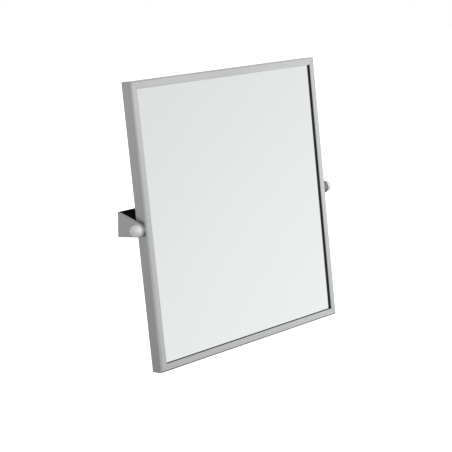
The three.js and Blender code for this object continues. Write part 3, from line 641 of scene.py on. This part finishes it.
for name, out in (("left", -1), ("right", 1)):
    low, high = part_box("bracket_cheek_" + name)
    outer = high.x if out > 0 else low.x
    stud_end = low.x if out > 0 else high.x
    middle = outer - out * PLATE_THICKNESS / 2
    plate = moved(tapered_plate(PLATE_HEIGHT, NOSE_RADIUS, PLATE_THICKNESS), (middle, 0, 0))
    round_edges(plate, sharp_edges(plate), PLATE_EDGE, segments=4)
    for end in (-1, 1):
        stud = moved(rod(STUD_RADIUS, stud_end, middle), (0, -STUD_REACH, end * STUD_SPACING / 2))
        plate = combine(plate, stud, "UNION")
    drill = moved(rod(BOLT_HOLE_RADIUS, stud_end, outer + out * SHEET), pivot)
    plate = combine(plate, drill, "DIFFERENCE")
    side_plate = finish_piece("side_plate_" + name, plate, FIXED,
                              steel_side_plate, ["bracket_cheek_" + name])
    side_plate.data.materials.append(inner_face_painted_light)
    side_plate.data.materials.append(cut_edge_and_painted_shade)
    # Outer faces get brushed steel, inner faces the painted light, and edges the darker, partly
    # painted shade.
    for face in side_plate.data.polygons:
        if abs(face.normal.x) < LOOKS_SIDEWAYS:
            face.material_index = CUT_EDGE
        else:
            face.material_index = INNER_FACE if face.normal.x * out < 0 else OUTER_FACE

# %% [markdown]
# Behind each side plate is a black casting: a flange on the wall, a web beside the frame and a
# gusset between them. The flange is a block. Its two corners far from the side plate are rounded,
# and the edges of its front are rolled, as they are on anything that has to leave a mould.

# %% Wall flange
FLANGE_THICKNESS, FLANGE_ROUND = 5 * MM, 3 * MM
CAST_EDGE = 0.8 * MM


def block(low, high):
    """A plain block between two corners."""
    low, high = Vector(low), Vector(high)
    shape = bmesh.new()
    place = Matrix.Translation((low + high) / 2) @ Matrix.Diagonal((*(high - low), 1))
    bmesh.ops.create_cube(shape, size=1, matrix=place)
    return shape


def wall_flange(inner, outer):
    """A plate on the wall with round corners at its inner end."""
    half = PLATE_HEIGHT / 2
    flange = block((min(inner, outer), -FLANGE_THICKNESS, -half), (max(inner, outer), 0, half))
    inner_corners = [edge for edge in flange.edges
                     if all(abs(vertex.co.x - inner) < SAME_POINT for vertex in edge.verts)
                     and abs(edge.verts[0].co.y - edge.verts[1].co.y) > SAME_POINT]
    round_edges(flange, inner_corners, FLANGE_ROUND, segments=6)
    face = [edge for edge in sharp_edges(flange)
            if max(vertex.co.y for vertex in edge.verts) < -FLANGE_THICKNESS / 2]
    round_edges(flange, face, CAST_EDGE, segments=3)
    return flange


print("flange", FLANGE_THICKNESS / MM, "mm thick")

# %% [markdown]
# The gusset ties the web to the flange with a fin that sweeps from one to the other. Its hollow
# side is a quarter of an oval, and cutting it from a block with a whole oval is quicker and truer
# than plotting the curve.

# %% Gusset
WEB_INSET, WEB_THICKNESS = 6 * MM, 2 * MM
GUSSET_THICKNESS, GUSSET_REACH, GUSSET_SPAN = 4 * MM, 34 * MM, 44 * MM


def gusset(web_middle, foot):
    """A fin from the web's middle to its foot on the flange, hollowed by an oval."""
    half = GUSSET_THICKNESS / 2
    fin = block((min(web_middle, foot), -GUSSET_REACH, -half), (max(web_middle, foot), -half, half))
    oval = rod(1, -GUSSET_THICKNESS, GUSSET_THICKNESS, segments=128)
    across = abs(web_middle - foot) - WEB_THICKNESS / 2
    rise = GUSSET_REACH - FLANGE_THICKNESS - CAST_EDGE
    to_oval = (Matrix.Translation((foot, -GUSSET_REACH, 0)) @ Matrix.Diagonal((across, rise, 1, 1))
               @ Matrix.Rotation(math.pi / 2, 4, "Y"))
    bmesh.ops.transform(oval, matrix=to_oval, verts=oval.verts)
    return combine(fin, oval, "DIFFERENCE")


print("gusset reaches", GUSSET_REACH / MM, "mm from the wall")

# %% [markdown]
# The wall screws have sunk heads, so each of their holes opens into a wide mouth. A drill and a
# cone are joined into one cutter. The cone is twice as deep as the mouth and half of it stands
# out in front of the flange, so that the cut leaves no thin skin there.

# %% Holes for the wall screws
WALL_HOLE_RADIUS, MOUTH_RADIUS, MOUTH_DEPTH = 3.25 * MM, 6 * MM, 3 * MM
WALL_HOLE_MARGIN, WALL_HOLE_SPACING = 15 * MM, 32 * MM


def wall_hole(across, up):
    """A cutter for one wall screw: a round hole with a wide mouth at the front of the flange."""
    cutter = rod(WALL_HOLE_RADIUS, -2 * FLANGE_THICKNESS, FLANGE_THICKNESS)
    mouth = bmesh.new()
    widest = MOUTH_RADIUS + (MOUTH_RADIUS - WALL_HOLE_RADIUS)
    place = Matrix.Translation((-FLANGE_THICKNESS, 0, 0)) @ Matrix.Rotation(math.pi / 2, 4, "Y")
    bmesh.ops.create_cone(mouth, cap_ends=True, segments=48, radius1=widest,
                          radius2=WALL_HOLE_RADIUS, depth=2 * MOUTH_DEPTH, matrix=place)
    cutter = combine(cutter, mouth, "UNION")
    bmesh.ops.rotate(cutter, matrix=Matrix.Rotation(math.pi / 2, 3, "Z"), verts=cutter.verts)
    return moved(cutter, (across, 0, up))


print("wall holes", WALL_HOLE_SPACING / MM, "mm apart")

# %% [markdown]
# Flange, web and gusset are joined into one shell before its holes are drilled. The web has the
# side plate's outline, a few millimetres smaller all round. Its nose is painted light: a pale grey
# in place of the black coat, which lifts the shade in the gap behind the side plate. The shell is
# split where the black coat ends, which gives each side its own faces.

# %% Bracket castings
COAT_REACH = 44 * MM
COATED, PAINTED_LIGHT_NOSE = 0, 1
for name, out in (("left", -1), ("right", 1)):
    low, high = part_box("bracket_body_" + name)
    web_out, flange_in = (high.x, low.x) if out > 0 else (low.x, high.x)
    web_middle = web_out - out * WEB_THICKNESS / 2
    web = moved(tapered_plate(PLATE_HEIGHT - 2 * WEB_INSET, NOSE_RADIUS - WEB_INSET, WEB_THICKNESS),
                (web_middle, 0, 0))
    inner_rim = [edge for edge in sharp_edges(web)
                 if all(out * (vertex.co.x - web_middle) < 0 for vertex in edge.verts)]
    round_edges(web, inner_rim, CAST_EDGE, segments=3)
    casting = combine(wall_flange(flange_in, web_out), web, "UNION")
    casting = combine(casting, gusset(web_middle, web_out - out * (WEB_THICKNESS + GUSSET_SPAN)),
                      "UNION")
    hole_place = flange_in + out * WALL_HOLE_MARGIN
    for end in (-1, 1):
        casting = combine(casting, wall_hole(hole_place, end * WALL_HOLE_SPACING / 2), "DIFFERENCE")
        stud_hole = moved(rod(STUD_RADIUS, web_middle - WEB_THICKNESS, web_middle + WEB_THICKNESS),
                          (0, -STUD_REACH, end * STUD_SPACING / 2))
        casting = combine(casting, stud_hole, "DIFFERENCE")
    drill = moved(rod(BOLT_HOLE_RADIUS, web_middle - WEB_THICKNESS, web_middle + WEB_THICKNESS), pivot)
    casting = combine(casting, drill, "DIFFERENCE")
    bmesh.ops.bisect_plane(casting, geom=casting.verts[:] + casting.edges[:] + casting.faces[:],
                           plane_co=(0, -COAT_REACH, 0), plane_no=(0, -1, 0))
    bracket = finish_piece("casting_" + name, casting, FIXED, black_coat_and_painted_shade,
                           ["bracket_body_" + name])
    bracket.data.materials.append(casting_nose_painted_light)
    # Faces beyond the black coat's reach get the painted light of the nose.
    for face in bracket.data.polygons:
        face.material_index = PAINTED_LIGHT_NOSE if face.center.y < -COAT_REACH else COATED

# %% [markdown]
# A domed cap covers each pivot bolt. Half a sphere, drawn down into a short skirt, has the shape,
# and thickness turned inwards makes it a shell. The sphere has enough rings that no facet shows
# in the highlight. It is halved along one of its own rings: the cut is told to take points that
# nearly lie on its plane as lying on it, or it would leave slivers beside that ring.

# %% Domed caps
CAP_WALL, CAP_LIP = 1.5 * MM, 0.5 * MM
for name, out in (("left", -1), ("right", 1)):
    low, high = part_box("dome_cap_" + name)
    radius = (high.z - low.z) / 2
    skirt = (high.x - low.x) - radius
    base = low.x if out > 0 else high.x
    cap = bmesh.new()
    bmesh.ops.create_uvsphere(cap, u_segments=72, v_segments=36, radius=radius)
    bmesh.ops.bisect_plane(cap, geom=cap.verts[:] + cap.edges[:] + cap.faces[:], dist=SAME_POINT,
                           plane_co=(0, 0, 0), plane_no=(0, 0, -1), clear_outer=True)
    rim = [edge for edge in cap.edges if edge.is_boundary]
    drawn = bmesh.ops.extrude_edge_only(cap, edges=rim)["geom"]
    skirt_end = [item for item in drawn if isinstance(item, bmesh.types.BMVert)]
    bmesh.ops.translate(cap, vec=(0, 0, -skirt), verts=skirt_end)
    bmesh.ops.recalc_face_normals(cap, faces=cap.faces)
    bmesh.ops.solidify(cap, geom=cap.faces[:], thickness=CAP_WALL)
    round_edges(cap, sharp_edges(cap), CAP_LIP, segments=3)
    place = (Matrix.Translation((base, pivot.y, pivot.z)) @ Matrix.Rotation(out * math.pi / 2, 4, "Y")
             @ Matrix.Translation((0, 0, skirt)))
    finish_piece("domed_cap_" + name, cap, FIXED, cap_metal,
                 ["dome_cap_" + name], place)

# %% [markdown]
# Eight pan-head screws hold the corner plates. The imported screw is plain. A real one has a head
# with a rolled shoulder and a cross recess for the driver. The recess is cut by two thin blocks,
# one turned a quarter against the other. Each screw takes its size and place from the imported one.

# %% Corner screws
RECESS_WIDTH, RECESS_SPAN, RECESS_DEPTH = 0.9 * MM, 4.2 * MM, 1.3 * MM
SHOULDER = 1.2 * MM
SHANK_RADIUS = 2 * MM


def pan_screw(head_radius, head_height, length):
    """A screw along X: the underside of its head is at X = 0 and the shank runs to -X."""
    head = rod(head_radius, 0, head_height)
    crown = [edge for edge in sharp_edges(head) if min(v.co.x for v in edge.verts) > head_height / 2]
    round_edges(head, crown, SHOULDER, segments=6)
    for turn in (0, math.pi / 2):
        wing = block((head_height - RECESS_DEPTH, -RECESS_SPAN / 2, -RECESS_WIDTH / 2),
                     (head_height + RECESS_DEPTH, RECESS_SPAN / 2, RECESS_WIDTH / 2))
        bmesh.ops.rotate(wing, matrix=Matrix.Rotation(turn, 3, "X"), verts=wing.verts)
        head = combine(head, wing, "DIFFERENCE")
    # The shank runs a little way into the head, so that the two join into one shell.
    return combine(head, rod(SHANK_RADIUS, -length, head_height / 4), "UNION")


rear_face = frame_front + frame_depth
for side, _, _ in SIDES:
    for number in (1, 2):
        node = f"corner_screw_{side}_{number}"
        low, high = upright_box(node)
        head_radius, middle = (high.x - low.x) / 2, (low + high) / 2
        screw = pan_screw(head_radius, high.y - rear_face, rear_face - low.y)
        place = (LEAN_BACK @ Matrix.Translation((middle.x, rear_face, middle.z))
                 @ Matrix.Rotation(math.pi / 2, 4, "Z"))
        finish_piece(f"pan_screw_{side}_{number}", screw, TURNING, zinc, [node], place)

# %% [markdown]
# The back of the mirror is closed by a pressed tray. It starts flat, as one face of the tray's
# size. Rounding its corner points gives the outline of the blank, the outline is drawn forward
# into a rim, and a bevel turns the crease between sheet and rim into a soft fold.

# %% Fold the rear tray
TRAY_SHEET, TRAY_CORNER, TRAY_FOLD = 1 * MM, 8 * MM, 2.2 * MM
low, high = upright_box("back_panel")
width, height, rim_depth = high.x - low.x, high.z - low.z, high.y - low.y
tray = bmesh.new()
bmesh.ops.create_grid(tray, x_segments=1, y_segments=1, size=0.5)
bmesh.ops.transform(tray, verts=tray.verts, matrix=Matrix.Rotation(-math.pi / 2, 4, "X")
                    @ Matrix.Diagonal((width, height, 1, 1)))
bmesh.ops.bevel(tray, geom=tray.verts[:], offset=TRAY_CORNER, offset_type="OFFSET", segments=8,
                profile=0.5, affect="VERTICES", material=-1)
folds = tray.edges[:]
walls = bmesh.ops.extrude_edge_only(tray, edges=folds)["geom"]
rim = [item for item in walls if isinstance(item, bmesh.types.BMVert)]
bmesh.ops.translate(tray, vec=(0, -rim_depth, 0), verts=rim)
round_edges(tray, folds, TRAY_FOLD, segments=6)
print("tray", round(width / MM), "by", round(height / MM), "mm, rim", round(rim_depth / MM), "mm")

# %% [markdown]
# Two long beads stiffen the sheet. A press leaves soft lips, not creases. Each bead starts as a
# flat loop with round ends. It is inset again and again, and each ring goes a little deeper,
# along half a wave from the sheet to the bottom of the bead. A narrow flat ring stays round the
# bead, and a flat strip of twice that width runs along its bottom.

# %% Draw and press a bead
BEAD_LENGTH, BEAD_OFFSET = 400 * MM, 110 * MM
BEAD_HALF_WIDTH, BEAD_DEPTH, BEAD_RINGS = 6.5 * MM, 4 * MM, 12
BEAD_SIDES = 48
BEAD_FLAT = 0.4 * MM


def long_loop(shape, half_width, length, across):
    """A loop of edges with straight sides and round ends, standing in X and Z."""
    # Turned by half a side, the circle has no point on the line where it is pulled apart.
    place = (Matrix.Translation((across, 0, 0)) @ Matrix.Rotation(math.pi / 2, 4, "X")
             @ Matrix.Rotation(math.pi / BEAD_SIDES, 4, "Z"))
    ring = bmesh.ops.create_circle(shape, segments=BEAD_SIDES, radius=half_width,
                                   matrix=place)["verts"]
    stretch = length / 2 - half_width
    for up in (-1, 1):
        end = [vertex for vertex in ring if up * vertex.co.z > 0]
        bmesh.ops.translate(shape, vec=(0, 0, up * stretch), verts=end)
    return ring


def press_bead(shape, loop):
    """Fills a loop and sinks it towards -Y, ring by ring."""
    bottom = bmesh.ops.contextual_create(shape, geom=loop)["faces"][0]
    if bottom.normal.y < 0:
        bottom.normal_flip()
    bmesh.ops.inset_individual(shape, faces=[bottom], thickness=BEAD_FLAT, use_even_offset=True)
    width = (BEAD_HALF_WIDTH - 2 * BEAD_FLAT) / BEAD_RINGS
    depths = [BEAD_DEPTH * (1 - math.cos(math.pi * ring / BEAD_RINGS)) / 2
              for ring in range(BEAD_RINGS + 1)]
    for shallow, deep in zip(depths, depths[1:]):
        bmesh.ops.inset_individual(shape, faces=[bottom], thickness=width, depth=shallow - deep,
                                   use_even_offset=True)


print("beads", BEAD_LENGTH / MM, "mm long and", BEAD_DEPTH / MM, "mm deep")

# %% [markdown]
# The sheet's large face makes room for the two loops and is filled again round them. The beads
# are pressed, all faces are turned outwards, and only then does the tray get its thickness.

# %% Rear tray
sheet = max(tray.faces, key=lambda face: face.calc_area())
outline = sheet.edges[:]
bmesh.ops.delete(tray, geom=[sheet], context="FACES_ONLY")
loops = [long_loop(tray, BEAD_HALF_WIDTH, BEAD_LENGTH, side * BEAD_OFFSET) for side in (-1, 1)]
bead_edges = [edge for edge in tray.edges if edge.is_wire]
bmesh.ops.triangle_fill(tray, edges=outline + bead_edges, use_beauty=True, use_dissolve=False)
for loop in loops:
    press_bead(tray, loop)
bmesh.ops.recalc_face_normals(tray, faces=tray.faces)
outermost = max(tray.faces, key=lambda face: face.calc_center_median().y)
if outermost.normal.y < 0:
    bmesh.ops.reverse_faces(tray, faces=tray.faces)
bmesh.ops.solidify(tray, geom=tray.faces[:], thickness=TRAY_SHEET)
finish_piece("rear_tray", tray, TURNING, galvanised, ["back_panel"],
             LEAN_BACK @ Matrix.Translation((0, high.y, (low.z + high.z) / 2)))

# %% [markdown]
# Two nuts hold each side plate's studs behind the web. A nut is a six-sided bar whose corners are
# turned off at a slant, so the bar is trimmed to a round with rolled edges, and then drilled.

# %% Stud nuts
NUT_CHAMFER, NUT_TURNED_OFF = 0.7 * MM, 0.0875 * MM


def hex_nut(across_flats, start, end):
    """A nut along X with two of its flats level."""
    corner = across_flats / math.sqrt(3)
    bar = rod(corner, start, end, segments=6)
    turned = rod(corner - NUT_TURNED_OFF, start, end)
    round_edges(turned, sharp_edges(turned), NUT_CHAMFER, segments=3)
    return combine(bar, turned, "INTERSECT")


for side in ("left", "right"):
    for number in (1, 2):
        node = f"cheek_nut_{side}_{number}"
        low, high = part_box(node)
        middle, size = (low + high) / 2, high - low
        nut = moved(hex_nut(min(size.y, size.z), low.x, high.x), (0, middle.y, middle.z))
        hole = moved(rod(STUD_RADIUS, low.x - SHEET, high.x + SHEET), (0, middle.y, middle.z))
        nut = combine(nut, hole, "DIFFERENCE")
        finish_piece(f"stud_nut_{side}_{number}", nut, FIXED, zinc, [node])

# %% [markdown]
# Between the glass and the tray lies a sheet of foam. It shows only when the mirror comes apart
# on the bench, but it is a soft piece, so all its edges are rolled. The glass and the tray press
# it flat, so it has no crown.

# %% Foam sheet
FOAM_EDGE = 1.5 * MM
low, high = upright_box("foam_pad")
foam = block(low, high)
round_edges(foam, foam.edges[:], FOAM_EDGE, segments=4)
foam_sheet = finish_piece("foam_sheet", foam, TURNING, grey_foam, ["foam_pad"],
                          LEAN_BACK)

# %% [markdown]
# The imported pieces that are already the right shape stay, and only get their finish. A table from
# the start of a piece's name to its finish covers them, and every piece is checked off.

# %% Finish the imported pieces
KEPT = {
    "mirror_pane": mirror_glass,
    "glazing_tape": rubber,
    "edge_block": white_nylon,
    "corner_plate": galvanised,
    "pivot_plate": galvanised,
    "lock_nut": zinc,
    "pivot_bolt": zinc,
    "wave_washer": zinc,
    "friction_washer": dark_nylon,
    "cap_seat": dark_nylon,
}
for name, node in frame["nodes"].items():
    for start, material in KEPT.items():
        if name.startswith(start):
            for slot in node.material_slots:
                slot.material = material
shown = [name for name, node in frame["nodes"].items() if not node.hide_render]
undressed = [name for name in shown if not name.startswith(tuple(KEPT))]
print(len(shown), "packed pieces shown, undressed:", undressed)
